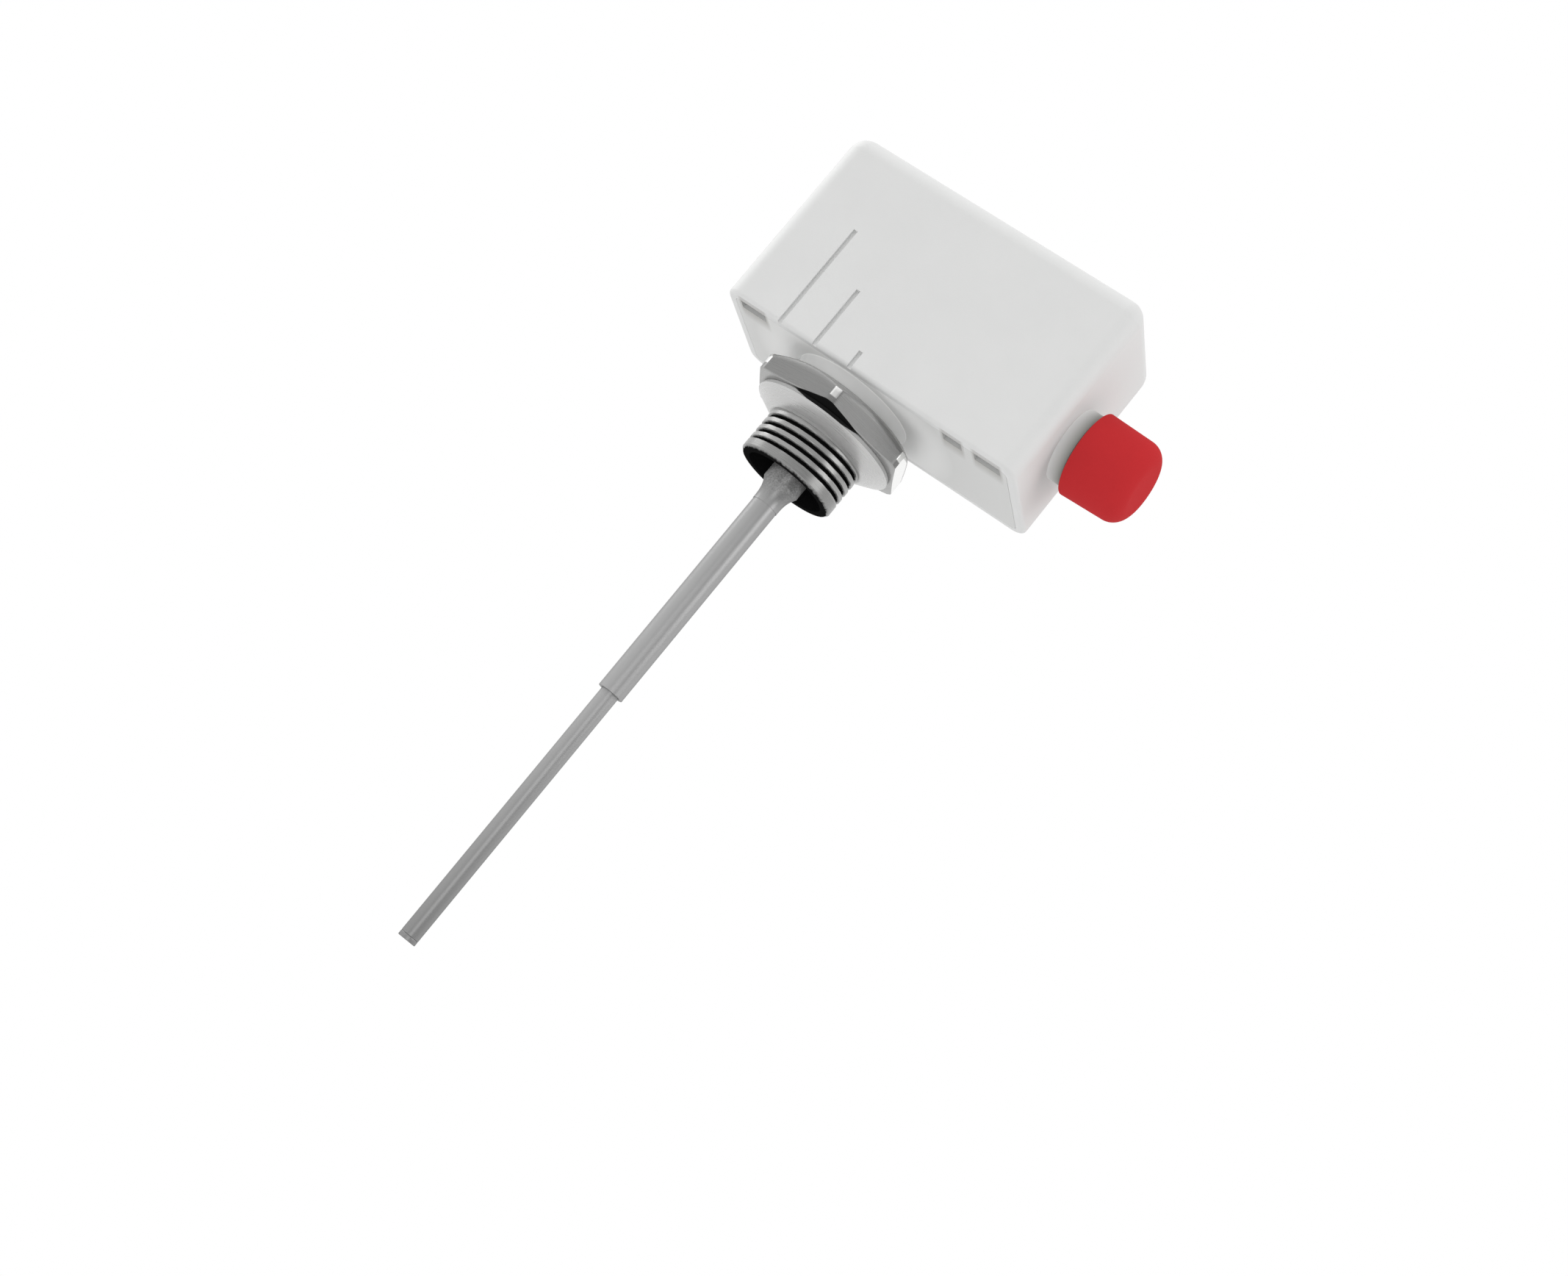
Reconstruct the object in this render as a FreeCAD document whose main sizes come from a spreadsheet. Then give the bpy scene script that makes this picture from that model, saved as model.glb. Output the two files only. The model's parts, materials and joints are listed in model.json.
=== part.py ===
import FreeCAD, Part
import math
import os
import re

import Sketcher

# Screw-in temperature sensor, in millimetres.
# The stem points down -Z, and z = 0 is the shoulder above the thread, where the fitting seats.
# The long front of the hood faces -Y, and the capped cable entry is in the +X end wall.

# Driving dimensions
SIZES = {
    "thread_diameter": 20.955,
    "thread_length": 9.3,
    "thread_chamfer": 0.5,
    "hex_width": 32.0,
    "hex_height": 5.3,
    "hex_corner_cut": 0.4,
    "hex_top_inset": 0.7,
    "hex_top_chamfer": 1.6,
    "hex_seat_inset": 0.3,
    "hex_seat_chamfer": 0.3,
    "hex_turn": 42.0,
    "collar_height": 3.1,
    "collar_diameter": 22.0,
    "collar_rim_diameter": 30.8,
    "seal_diameter": 30.4,
    "seal_bore": 26.4,
    "seal_thickness": 0.8,
    "counterbore_diameter": 17.0,
    "counterbore_depth": 8.0,
    "spigot_diameter": 16.0,
    "spigot_spare": 1.0,
    "gasket_diameter": 24.0,
    "gasket_thickness": 0.6,
    "neck_height": 2.8,
    "neck_seat_diameter": 24.6,
    "neck_root_diameter": 25.4,
    "washer_diameter": 24.0,
    "washer_thickness": 1.0,
    "nut_width": 22.0,
    "nut_height": 5.0,
    "stem_diameter": 5.4,
    "stem_wall": 0.4,
    "stem_length": 61.2,
    "stem_shoulder": 1.0,
    "ferrule_diameter": 7.8,
    "ferrule_stand": 1.2,
    "ferrule_neck_diameter": 6.3,
    "ferrule_neck": 1.8,
    "ferrule_cone": 4.8,
    "ferrule_lip": 0.15,
    "tip_diameter": 3.8,
    "tip_wall": 0.3,
    "tip_overlap": 6.0,
    "immersion_length": 119.4,
    "tip_plug_thickness": 1.0,
    "tip_plug_spigot": 1.5,
    "element_diameter": 2.4,
    "element_length": 12.0,
    "lead_diameter": 0.5,
    "lead_pitch": 1.2,
    "lead_tail": 1.0,
    "insulator_diameter": 2.6,
    "insulator_start": 2.0,
    "bore_plug_depth": 4.0,
    "bore_plug_head": 1.0,
    "bore_plug_head_diameter": 7.5,
    "braze_gap": 0.05,
    "lead_gap": 0.1,
    "hood_length": 68.2,
    "hood_depth": 30.0,
    "hood_height": 41.6,
    "hood_wall": 2.0,
    "edge_radius": 3.5,
    "top_radius": 4.0,
    "axis_inset": 28.6,
    "groove_width": 0.9,
    "groove_depth": 0.7,
    "groove_height": 23.3,
    "groove_step": 9.7,
    "groove_pitch": 8.3,
    "groove_offset": 13.3,
    "rim_radius": 0.9,
    "seam_gap": 0.06,
    "plate_thickness": 3.0,
    "slot_length": 5.8,
    "slot_depth": 2.6,
    "slot_inset": 1.5,
    "small_slot_length": 4.2,
    "slot_spacing": 3.0,
    "post_diameter": 5.0,
    "post_height": 11.0,
    "post_spacing_long": 42.0,
    "post_spacing_short": 16.0,
    "board_length": 50.0,
    "board_width": 22.0,
    "board_thickness": 1.6,
    "board_shift": 2.0,
    "screw_diameter": 2.2,
    "screw_depth": 6.0,
    "screw_head_diameter": 4.4,
    "screw_head_height": 1.8,
    "screw_slot_width": 0.6,
    "screw_slot_depth": 0.7,
    "block_length": 8.0,
    "block_height": 10.0,
    "block_shift": 13.0,
    "pole_pitch": 5.08,
    "well_diameter": 4.0,
    "well_depth": 2.6,
    "clamp_diameter": 3.4,
    "clamp_head_height": 1.6,
    "clamp_shank_diameter": 2.4,
    "clamp_shank_length": 3.4,
    "wire_hole_diameter": 3.0,
    "wire_hole_depth": 6.2,
    "wire_hole_height": 3.2,
    "pin_diameter": 1.0,
    "pin_tail": 1.6,
    "pin_pad_thickness": 0.5,
    "pin_pad_length": 2.2,
    "pin_pad_width": 1.4,
    "entry_height": 27.7,
    "entry_thread_diameter": 12.0,
    "entry_thread_spare": 1.0,
    "entry_nut_width": 17.0,
    "entry_nut_height": 4.0,
    "entry_seal_land": 0.8,
    "entry_seal_thickness": 0.8,
    "entry_flange_diameter": 15.2,
    "entry_flange_thickness": 3.2,
    "entry_stub_diameter": 14.6,
    "entry_stub_length": 9.6,
    "entry_bore_diameter": 7.6,
    "grommet_diameter": 10.0,
    "grommet_length": 7.0,
    "cable_diameter": 6.0,
    "cap_diameter": 17.6,
    "cap_end_diameter": 16.8,
    "cap_length": 12.8,
    "cap_end": 2.4,
    "cap_gap": 0.3,
    "cap_stub_gap": 0.15,
    "cap_rounding": 3.6,
    "cap_dish_radius": 4.0,
    "cap_dish_depth": 0.4,
}

# Levels and places that follow from the driving dimensions
DERIVED = {
    "hex_corner": "hex_width / sqrt(3) - hex_corner_cut",
    "hex_top_face": "hex_width / 2 - hex_top_inset",
    "hex_seat_face": "hex_width / 2 - hex_seat_inset",
    "thread_end": "-thread_length",
    "counterbore_floor": "thread_end + counterbore_depth",
    "ferrule_foot": "thread_end - ferrule_stand",
    "collar_rim": "collar_height - seal_thickness",
    "hex_top": "collar_height + hex_height",
    "neck_level": "hex_top + gasket_thickness",
    "floor_level": "neck_level + neck_height",
    "plate_top": "floor_level + plate_thickness",
    "nut_seat": "plate_top + washer_thickness",
    "spigot_top": "nut_seat + nut_height + spigot_spare",
    "stem_radius": "stem_diameter / 2",
    "stem_bore": "stem_radius - stem_wall",
    "tip_radius": "tip_diameter / 2",
    "tip_bore": "tip_radius - tip_wall",
    "tip_end": "-immersion_length",
    "tip_tube_end": "tip_end + tip_plug_thickness",
    "element_bottom": "tip_tube_end + tip_plug_spigot",
    "element_top": "element_bottom + element_length",
    "bore_plug_bottom": "spigot_top - bore_plug_depth",
    "lead_reach": "lead_pitch / 2",
    "board_level": "plate_top + post_height",
    "board_top": "board_level + board_thickness",
    "hood_left": "-axis_inset",
    "hood_right": "hood_length - axis_inset",
    "hood_back": "hood_depth / 2",
    "hood_top": "floor_level + hood_height",
    "wall_face": "hood_right - hood_wall",
    "plate_left": "hood_left + hood_wall + seam_gap",
    "plate_right": "wall_face - seam_gap",
    "plate_back": "hood_back - hood_wall - seam_gap",
    "post_left": "board_shift - post_spacing_long / 2",
    "post_right": "board_shift + post_spacing_long / 2",
    "post_reach": "post_spacing_short / 2",
    "block_top": "board_top + block_height",
    "pole_reach": "pole_pitch / 2",
    "well_floor": "block_top - well_depth",
    "wire_axis": "board_top + wire_hole_height",
    "wire_floor": "wire_axis - wire_hole_diameter / 2",
    "pad_level": "wire_floor + pin_pad_thickness",
    "pad_top": "pad_level + pin_pad_thickness",
    "entry_seal_radius": "entry_flange_diameter / 2 - entry_seal_land",
    "entry_seal_face": "hood_right + entry_seal_thickness",
    "stub_start": "hood_right + entry_flange_thickness",
    "stub_end": "stub_start + entry_stub_length",
    "cap_start": "stub_start + cap_gap",
    "cap_tip": "cap_start + cap_length",
}

FULL_TURN = 360.0
QUARTER_TURN = 90.0
HEXAGON_SIDES = 6
GROOVE_COUNT = 3
POLE_COUNT = 2
# A tool that passes through a piece is this many times as long as the piece, one length past each face
THROUGH = 3
TOUCH = 1e-4

doc = FreeCAD.newDocument("TemperatureSensor")
sheet = doc.addObject("Spreadsheet::Sheet", "Sizes")
pieces = []


def fill_sheet():
    """Write every size and every derived place into the sheet, one row each."""
    rows = [(name, str(number)) for name, number in SIZES.items()]
    rows += [(name, "=" + formula) for name, formula in DERIVED.items()]
    for row, (name, content) in enumerate(rows, start=1):
        sheet.set("A%d" % row, name)
        sheet.set("B%d" % row, content)
        sheet.setAlias("B%d" % row, name)
    doc.recompute()


def value(name):
    """The number that the sheet holds for a name."""
    return float(sheet.get(name))


def bind(item, prop, text):
    """Tie a property to an expression written in the sheet's names."""
    def in_sheet(found):
        word = found.group()
        return "Sizes." + word if word in SIZES or word in DERIVED else word
    item.setExpression(prop, re.sub(r"[a-z]\w*", in_sheet, text))


def keep(item, label):
    """Name a finished piece."""
    item.Label = label
    pieces.append(item)
    return item


# Sketches and solid features

def new_body(label):
    return keep(doc.addObject("PartDesign::Body", label + "_body"), label)


def new_sketch(body, plane, level=None):
    """An empty sketch on one of the body's own planes, raised along its normal to a level."""
    sketch = body.newObject("Sketcher::SketchObject", "Sketch")
    support = next(item for item in body.Origin.OriginFeatures if item.Role == plane)
    sketch.AttachmentSupport = (support, [""])
    sketch.MapMode = "FlatFace"
    if level:
        bind(sketch, "AttachmentOffset.Base.z", level)
    return sketch


def hold_point(sketch, geometry, position, place, text):
    """Hold a point by its two distances from the sketch's origin."""
    for kind, distance, expression in zip(("DistanceX", "DistanceY"), place, text):
        constraint = Sketcher.Constraint(kind, -1, 1, geometry, position, distance)
        index = sketch.addConstraint(constraint)
        bind(sketch, "Constraints[%d]" % index, expression)


def draw_outline(sketch, corners):
    """A closed outline of straight lines; it starts as a ring, and the bound corners give its form."""
    count = len(corners)
    first = sketch.GeometryCount
    turns = [2 * math.pi * index / count for index in range(count)]
    ring = [FreeCAD.Vector(math.cos(turn), math.sin(turn), 0) * count for turn in turns]
    for index in range(count):
        sketch.addGeometry(Part.LineSegment(ring[index], ring[(index + 1) % count]), False)
    for index in range(count):
        following = first + (index + 1) % count
        sketch.addConstraint(Sketcher.Constraint("Coincident", first + index, 2, following, 1))
    for index, text in enumerate(corners):
        hold_point(sketch, first + index, 1, (ring[index].x, ring[index].y), text)


def draw_rectangle(sketch, left, right, low, high):
    draw_outline(sketch, [(left, low), (right, low), (right, high), (left, high)])


def draw_circle(sketch, place, radius):
    centre = FreeCAD.Vector(1, 1, 0)
    geometry = sketch.addGeometry(Part.Circle(centre, FreeCAD.Vector(0, 0, 1), 1.0), False)
    hold_point(sketch, geometry, 3, (centre.x, centre.y), place)
    index = sketch.addConstraint(Sketcher.Constraint("Radius", geometry, 1.0))
    bind(sketch, "Constraints[%d]" % index, radius)


def extrude(body, kind, sketch, length, reverse=False):
    feature = body.newObject("PartDesign::" + kind, kind)
    feature.Profile = sketch
    feature.Reversed = reverse
    bind(feature, "Length", length)
    doc.recompute()
    return feature


def revolve(body, kind, sketch, axis):
    feature = body.newObject("PartDesign::" + kind, kind)
    feature.Profile = sketch
    feature.ReferenceAxis = (sketch, [axis])
    feature.Angle = FULL_TURN
    doc.recompute()
    return feature


def round_edges(body, base, chosen, radius):
    """Round the edges of a feature that a test picks."""
    names = ["Edge%d" % (index + 1) for index, edge in enumerate(base.Shape.Edges) if chosen(edge)]
    feature = body.newObject("PartDesign::Fillet", "Fillet")
    feature.Base = (base, names)
    bind(feature, "Radius", radius)
    doc.recompute()
    return feature


def is_upright(edge):
    box = edge.BoundBox
    return box.XLength < TOUCH and box.YLength < TOUCH


def turned(label, corners):
    """A piece turned about the stem's axis; its corners are (radius, height)."""
    body = new_body(label)
    sketch = new_sketch(body, "XZ_Plane")
    draw_outline(sketch, corners)
    revolve(body, "Revolution", sketch, "V_Axis")
    return body


def turned_across(label, corners):
    """A piece turned about the cable entry's axis; its corners are (place along X, radius)."""
    body = new_body(label)
    sketch = new_sketch(body, "XZ_Plane")
    draw_outline(sketch, corners)
    revolve(body, "Revolution", sketch, "H_Axis")
    bind(body, "Placement.Base.z", "entry_height")
    return body


# Primitives and booleans

def place_at(item, spot):
    for axis, text in zip("xyz", spot):
        bind(item, "Placement.Base." + axis, text)
    return item


def cylinder(radius, height, spot):
    item = doc.addObject("Part::Cylinder", "Cylinder")
    bind(item, "Radius", radius)
    bind(item, "Height", height)
    return place_at(item, spot)


def block(length, width, height, spot):
    item = doc.addObject("Part::Box", "Box")
    for prop, text in zip(("Length", "Width", "Height"), (length, width, height)):
        bind(item, prop, text)
    return place_at(item, spot)


def prism(width, height, spot):
    item = doc.addObject("Part::Prism", "Prism")
    item.Polygon = HEXAGON_SIDES
    bind(item, "Circumradius", "(%s) / sqrt(3)" % width)
    bind(item, "Height", height)
    return place_at(item, spot)


def lay_along_x(item):
    """Turn an upright primitive so that its axis runs along X."""
    item.Placement.Rotation = FreeCAD.Rotation(FreeCAD.Vector(0, 1, 0), QUARTER_TURN)
    return item


def cut(base, tool):
    item = doc.addObject("Part::Cut", "Cut")
    item.Base = base
    item.Tool = tool
    return item


def fuse(base, tool):
    item = doc.addObject("Part::Fuse", "Fuse")
    item.Base = base
    item.Tool = tool
    return item


def group(label, items):
    item = doc.addObject("Part::Compound", label + "_group")
    item.Links = items
    return keep(item, label)


def ring(label, outer, inner, bottom, height):
    """A flat ring about the stem's axis."""
    body = cylinder(outer, height, ("0", "0", bottom))
    return keep(cut(body, through_bore(inner, bottom, height)), label)


def through_bore(radius, bottom, height):
    """The tool that bores a piece about the stem's axis, past both its faces."""
    return cylinder(radius, "(%s) * %d" % (height, THROUGH), ("0", "0", "%s - (%s)" % (bottom, height)))


# Process fitting and what clamps it to the base plate

def make_fitting():
    body = new_body("threaded_fitting")
    sketch = new_sketch(body, "XZ_Plane")
    draw_outline(sketch, [
        ("0", "thread_end"),
        ("thread_diameter / 2 - thread_chamfer", "thread_end"),
        ("thread_diameter / 2", "thread_end + thread_chamfer"),
        ("thread_diameter / 2", "0"),
        ("collar_diameter / 2", "0"),
        ("collar_rim_diameter / 2", "collar_rim"),
        ("seal_bore / 2", "collar_rim"),
        ("seal_bore / 2", "hex_top - hex_height / 2"),
        ("spigot_diameter / 2", "hex_top - hex_height / 2"),
        ("spigot_diameter / 2", "spigot_top"),
        ("0", "spigot_top"),
    ])
    revolve(body, "Revolution", sketch, "V_Axis")

    hexagon = body.newObject("PartDesign::AdditivePrism", "Hexagon")
    hexagon.Polygon = HEXAGON_SIDES
    bind(hexagon, "Circumradius", "hex_width / sqrt(3)")
    bind(hexagon, "Height", "hex_height")
    bind(hexagon, "Placement.Base.z", "collar_height")
    bind(hexagon, "Placement.Rotation.Angle", "hex_turn")
    doc.recompute()

    turning = new_sketch(body, "XZ_Plane")
    draw_outline(turning, [
        ("hex_seat_face", "collar_height"),
        ("hex_width", "collar_height"),
        ("hex_width", "hex_top"),
        ("hex_top_face", "hex_top"),
        ("hex_corner", "hex_top - hex_top_chamfer"),
        ("hex_corner", "collar_height + hex_seat_chamfer"),
    ])
    revolve(body, "Groove", turning, "V_Axis")

    bore = new_sketch(body, "XY_Plane", "thread_end")
    draw_circle(bore, ("0", "0"), "stem_radius + braze_gap")
    extrude(body, "Pocket", bore, "spigot_top - thread_end", reverse=True)
    counterbore = new_sketch(body, "XY_Plane", "thread_end")
    draw_circle(counterbore, ("0", "0"), "counterbore_diameter / 2")
    extrude(body, "Pocket", counterbore, "counterbore_depth", reverse=True)


def make_clamping():
    clear = "spigot_diameter / 2 + braze_gap"
    ring("thread_seal", "seal_diameter / 2", "seal_bore / 2 + braze_gap", "collar_rim", "seal_thickness")
    ring("fitting_gasket", "gasket_diameter / 2", clear, "hex_top", "gasket_thickness")
    ring("lock_washer", "washer_diameter / 2", clear, "plate_top", "washer_thickness")
    nut = prism("nut_width", "nut_height", ("0", "0", "nut_seat"))
    keep(cut(nut, through_bore(clear, "nut_seat", "nut_height")), "lock_nut")


# Stem and what it holds

def make_stem():
    turned("stem_tube", [
        ("tip_radius + braze_gap", "-stem_length"),
        ("stem_radius", "-stem_length"),
        ("stem_radius", "spigot_top"),
        ("stem_bore", "spigot_top"),
        ("stem_bore", "stem_shoulder - stem_length"),
        ("tip_radius + braze_gap", "stem_shoulder - stem_length"),
    ])
    turned("stem_ferrule", [
        ("stem_radius + braze_gap", "ferrule_foot - ferrule_cone"),
        ("stem_radius + braze_gap + ferrule_lip", "ferrule_foot - ferrule_cone"),
        ("ferrule_neck_diameter / 2", "ferrule_foot - ferrule_neck"),
        ("ferrule_diameter / 2", "ferrule_foot"),
        ("ferrule_diameter / 2", "counterbore_floor"),
        ("stem_radius + braze_gap", "counterbore_floor"),
    ])
    turned("tip_tube", [
        ("tip_bore", "tip_tube_end"),
        ("tip_radius", "tip_tube_end"),
        ("tip_radius", "tip_overlap - stem_length"),
        ("tip_bore", "tip_overlap - stem_length"),
    ])
    turned("tip_plug", [
        ("0", "tip_end"),
        ("tip_radius", "tip_end"),
        ("tip_radius", "tip_tube_end"),
        ("tip_bore - braze_gap", "tip_tube_end"),
        ("tip_bore - braze_gap", "element_bottom"),
        ("0", "element_bottom"),
    ])
    element = cylinder("element_diameter / 2", "element_length", ("0", "0", "element_bottom"))
    keep(element, "sensing_element")


def lead_pair(radius, bottom, top):
    """Two upright rods at the spacing of the sensor's wires."""
    height = "%s - (%s)" % (top, bottom)
    return [cylinder(radius, height, (side + "lead_reach", "0", bottom)) for side in ("-", "")]


def make_leads():
    wires = lead_pair("lead_diameter / 2", "element_top", "board_top + lead_tail")
    group("sensor_leads", wires)

    start = "element_top + insulator_start"
    rod = cylinder("insulator_diameter / 2", "bore_plug_bottom - (%s)" % start, ("0", "0", start))
    for hole in lead_pair("lead_diameter / 2 + lead_gap", "element_top", "spigot_top"):
        rod = cut(rod, hole)
    keep(rod, "lead_insulator")

    stopper = cylinder("stem_bore - braze_gap", "bore_plug_depth", ("0", "0", "bore_plug_bottom"))
    head = cylinder("bore_plug_head_diameter / 2", "bore_plug_head", ("0", "0", "spigot_top"))
    plug = fuse(stopper, head)
    for hole in lead_pair("lead_diameter / 2 + lead_gap", "element_top", "board_level"):
        plug = cut(plug, hole)
    keep(plug, "bore_plug")


# Housing

def make_hood():
    body = new_body("hood")
    shell = new_sketch(body, "XY_Plane", "floor_level")
    draw_rectangle(shell, "hood_left", "hood_right", "-hood_back", "hood_back")
    solid = extrude(body, "Pad", shell, "hood_height")
    solid = round_edges(body, solid, is_upright, "edge_radius")
    roof = value("hood_top")
    rim = value("floor_level")
    solid = round_edges(body, solid, lambda edge: edge.BoundBox.ZMin > roof - TOUCH, "top_radius")
    solid = round_edges(body, solid, lambda edge: edge.BoundBox.ZMax < rim + TOUCH, "rim_radius")

    cavity = new_sketch(body, "XY_Plane", "floor_level")
    draw_rectangle(cavity, "hood_left + hood_wall", "wall_face",
                   "hood_wall - hood_back", "hood_back - hood_wall")
    solid = extrude(body, "Pocket", cavity, "hood_height - hood_wall", reverse=True)
    inner = (value("hood_left") + value("hood_wall"), value("wall_face"))

    def is_cavity_corner(edge):
        x = edge.BoundBox.XMin
        return is_upright(edge) and min(abs(x - side) for side in inner) < TOUCH
    round_edges(body, solid, is_cavity_corner, "edge_radius - hood_wall")

    grooves = new_sketch(body, "XZ_Plane", "hood_back")
    for index in range(GROOVE_COUNT):
        centre = "hood_left + groove_offset + groove_pitch * %d" % index
        top = "floor_level + groove_height - groove_step * %d" % index
        draw_rectangle(grooves, centre + " - groove_width / 2", centre + " + groove_width / 2",
                       "floor_level", top)
    extrude(body, "Pocket", grooves, "groove_depth")

    entry = new_sketch(body, "YZ_Plane", "hood_right")
    draw_circle(entry, ("0", "entry_height"), "entry_thread_diameter / 2 + braze_gap")
    extrude(body, "Pocket", entry, "hood_wall")


def post_places():
    return [(x, side + "post_reach") for x in ("post_left", "post_right") for side in ("-", "")]


def make_base_plate():
    body = new_body("base_plate")
    floor = new_sketch(body, "XY_Plane", "floor_level")
    draw_rectangle(floor, "plate_left", "plate_right", "-plate_back", "plate_back")
    solid = extrude(body, "Pad", floor, "plate_thickness")
    round_edges(body, solid, is_upright, "edge_radius - hood_wall - seam_gap")

    posts = new_sketch(body, "XY_Plane", "plate_top")
    for place in post_places():
        draw_circle(posts, place, "post_diameter / 2")
    extrude(body, "Pad", posts, "post_height")
    pilots = new_sketch(body, "XY_Plane", "board_level")
    for place in post_places():
        draw_circle(pilots, place, "screw_diameter / 2 + braze_gap")
    extrude(body, "Pocket", pilots, "screw_depth")

    neck = new_sketch(body, "XZ_Plane")
    draw_outline(neck, [
        ("0", "neck_level"),
        ("neck_seat_diameter / 2", "neck_level"),
        ("neck_root_diameter / 2", "floor_level"),
        ("0", "floor_level"),
    ])
    revolve(body, "Revolution", neck, "V_Axis")
    spigot = new_sketch(body, "XY_Plane", "plate_top")
    draw_circle(spigot, ("0", "0"), "spigot_diameter / 2 + braze_gap")
    extrude(body, "Pocket", spigot, "plate_thickness + neck_height")

    slots = new_sketch(body, "XY_Plane", "plate_top")
    left = "plate_left + slot_inset"
    right = "plate_right - slot_inset"
    small = right + " - slot_length - slot_spacing"
    for low, high in ((left, left + " + slot_length"), (right + " - slot_length", right),
                      (small + " - small_slot_length", small)):
        draw_rectangle(slots, low, high, "-plate_back - seam_gap", "slot_depth - plate_back")
    extrude(body, "Pocket", slots, "plate_thickness")


# Board and terminals

def pole_places():
    return [("block_shift", side + "pole_reach") for side in ("-", "")]


def make_board():
    body = new_body("circuit_board")
    panel = new_sketch(body, "XY_Plane", "board_level")
    draw_rectangle(panel, "board_shift - board_length / 2", "board_shift + board_length / 2",
                   "-board_width / 2", "board_width / 2")
    for place in post_places():
        draw_circle(panel, place, "screw_diameter / 2 + lead_gap")
    for place in pole_places():
        draw_circle(panel, place, "pin_diameter / 2 + lead_gap")
    for side in ("-", ""):
        draw_circle(panel, (side + "lead_reach", "0"), "lead_diameter / 2 + lead_gap")
    extrude(body, "Pad", panel, "board_thickness")


def slotted_screw(place, seat, head, head_height, shank, shank_length):
    """A cheese-head screw with a driver slot along X."""
    x, y = place
    top = "%s + %s" % (seat, head_height)
    body = fuse(cylinder(head, head_height, (x, y, seat)),
                cylinder(shank, shank_length, (x, y, "%s - (%s)" % (seat, shank_length))))
    slot_length = "(%s) * %d" % (head, THROUGH)
    slot = block(slot_length, "screw_slot_width", "screw_slot_depth + %s" % head_height,
                 ("%s - %s / 2" % (x, slot_length), "%s - screw_slot_width / 2" % y,
                  "%s - screw_slot_depth" % top))
    return cut(body, slot)


def make_board_screws():
    screws = [slotted_screw(place, "board_top", "screw_head_diameter / 2", "screw_head_height",
                            "screw_diameter / 2", "board_thickness + screw_depth - lead_gap")
              for place in post_places()]
    group("board_screws", screws)


def make_terminals():
    width = "pole_pitch * %d" % POLE_COUNT
    body = block("block_length", width, "block_height",
                 ("block_shift - block_length / 2", "-%s / 2" % width, "board_top"))
    for x, y in pole_places():
        well = cylinder("well_diameter / 2", "well_depth + block_height", (x, y, "well_floor"))
        neck = cylinder("clamp_shank_diameter / 2 + lead_gap", "block_height", (x, y, "wire_axis"))
        pin = cylinder("pin_diameter / 2 + lead_gap", "block_height", (x, y, "wire_axis - block_height"))
        wire = cylinder("wire_hole_diameter / 2", "wire_hole_depth",
                        ("block_shift + block_length / 2 - wire_hole_depth", y, "wire_axis"))
        for tool in (well, neck, pin, lay_along_x(wire)):
            body = cut(body, tool)
    keep(body, "terminal_block")

    pins = []
    for x, y in pole_places():
        foot = "board_level - pin_tail"
        post = cylinder("pin_diameter / 2", "pad_top - (%s)" % foot, (x, y, foot))
        pad = block("pin_pad_length", "pin_pad_width", "pin_pad_thickness",
                    ("%s - pin_pad_length / 2" % x, "%s - pin_pad_width / 2" % y, "pad_level"))
        pins.append(fuse(post, pad))
    group("terminal_pins", pins)

    for number, place in enumerate(pole_places(), start=1):
        screw = slotted_screw(place, "well_floor + lead_gap", "clamp_diameter / 2", "clamp_head_height",
                              "clamp_shank_diameter / 2", "clamp_shank_length")
        keep(screw, "terminal_screw_%d" % number)


# Cable entry and its cap

def make_entry():
    thread = "entry_thread_diameter / 2"
    inner_end = "wall_face - entry_nut_height - entry_thread_spare"
    turned_across("entry_stub", [
        (inner_end, "entry_bore_diameter / 2"),
        (inner_end, thread),
        ("entry_seal_face", thread),
        ("entry_seal_face", "entry_seal_radius + braze_gap"),
        ("hood_right", "entry_seal_radius + braze_gap"),
        ("hood_right", "entry_flange_diameter / 2"),
        ("stub_start", "entry_flange_diameter / 2"),
        ("stub_start", "entry_stub_diameter / 2"),
        ("stub_end", "entry_stub_diameter / 2"),
        ("stub_end", "grommet_diameter / 2 + braze_gap"),
        ("stub_end - grommet_length", "grommet_diameter / 2 + braze_gap"),
        ("stub_end - grommet_length", "entry_bore_diameter / 2"),
    ])
    clear = thread + " + braze_gap"
    turned_across("entry_seal", [
        ("hood_right", clear),
        ("hood_right", "entry_seal_radius"),
        ("entry_seal_face", "entry_seal_radius"),
        ("entry_seal_face", clear),
    ])
    turned_across("entry_grommet", [
        ("stub_end - grommet_length", "cable_diameter / 2"),
        ("stub_end - grommet_length", "grommet_diameter / 2"),
        ("stub_end", "grommet_diameter / 2"),
        ("stub_end", "cable_diameter / 2"),
    ])
    start = "wall_face - entry_nut_height"
    nut = lay_along_x(prism("entry_nut_width", "entry_nut_height", (start, "0", "entry_height")))
    bore = cylinder(clear, "entry_nut_height * %d" % THROUGH, (start + " - entry_nut_height", "0", "entry_height"))
    keep(cut(nut, lay_along_x(bore)), "entry_lock_nut")


def make_cap():
    bore = "entry_stub_diameter / 2 + cap_stub_gap"
    body = turned_across("closing_cap", [
        ("cap_start", bore),
        ("cap_start", "cap_diameter / 2"),
        ("cap_tip", "cap_end_diameter / 2"),
        ("cap_tip", "cap_dish_radius"),
        ("cap_tip - cap_dish_depth", "0"),
        ("cap_tip - cap_end", "0"),
        ("cap_tip - cap_end", bore),
    ])
    solid = body.Tip
    tip = value("cap_tip")
    reach = value("cap_end_diameter")

    def is_rim(edge):
        box = edge.BoundBox
        return box.XMin > tip - TOUCH and box.YLength > reach - TOUCH
    round_edges(body, solid, is_rim, "cap_rounding")


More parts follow.
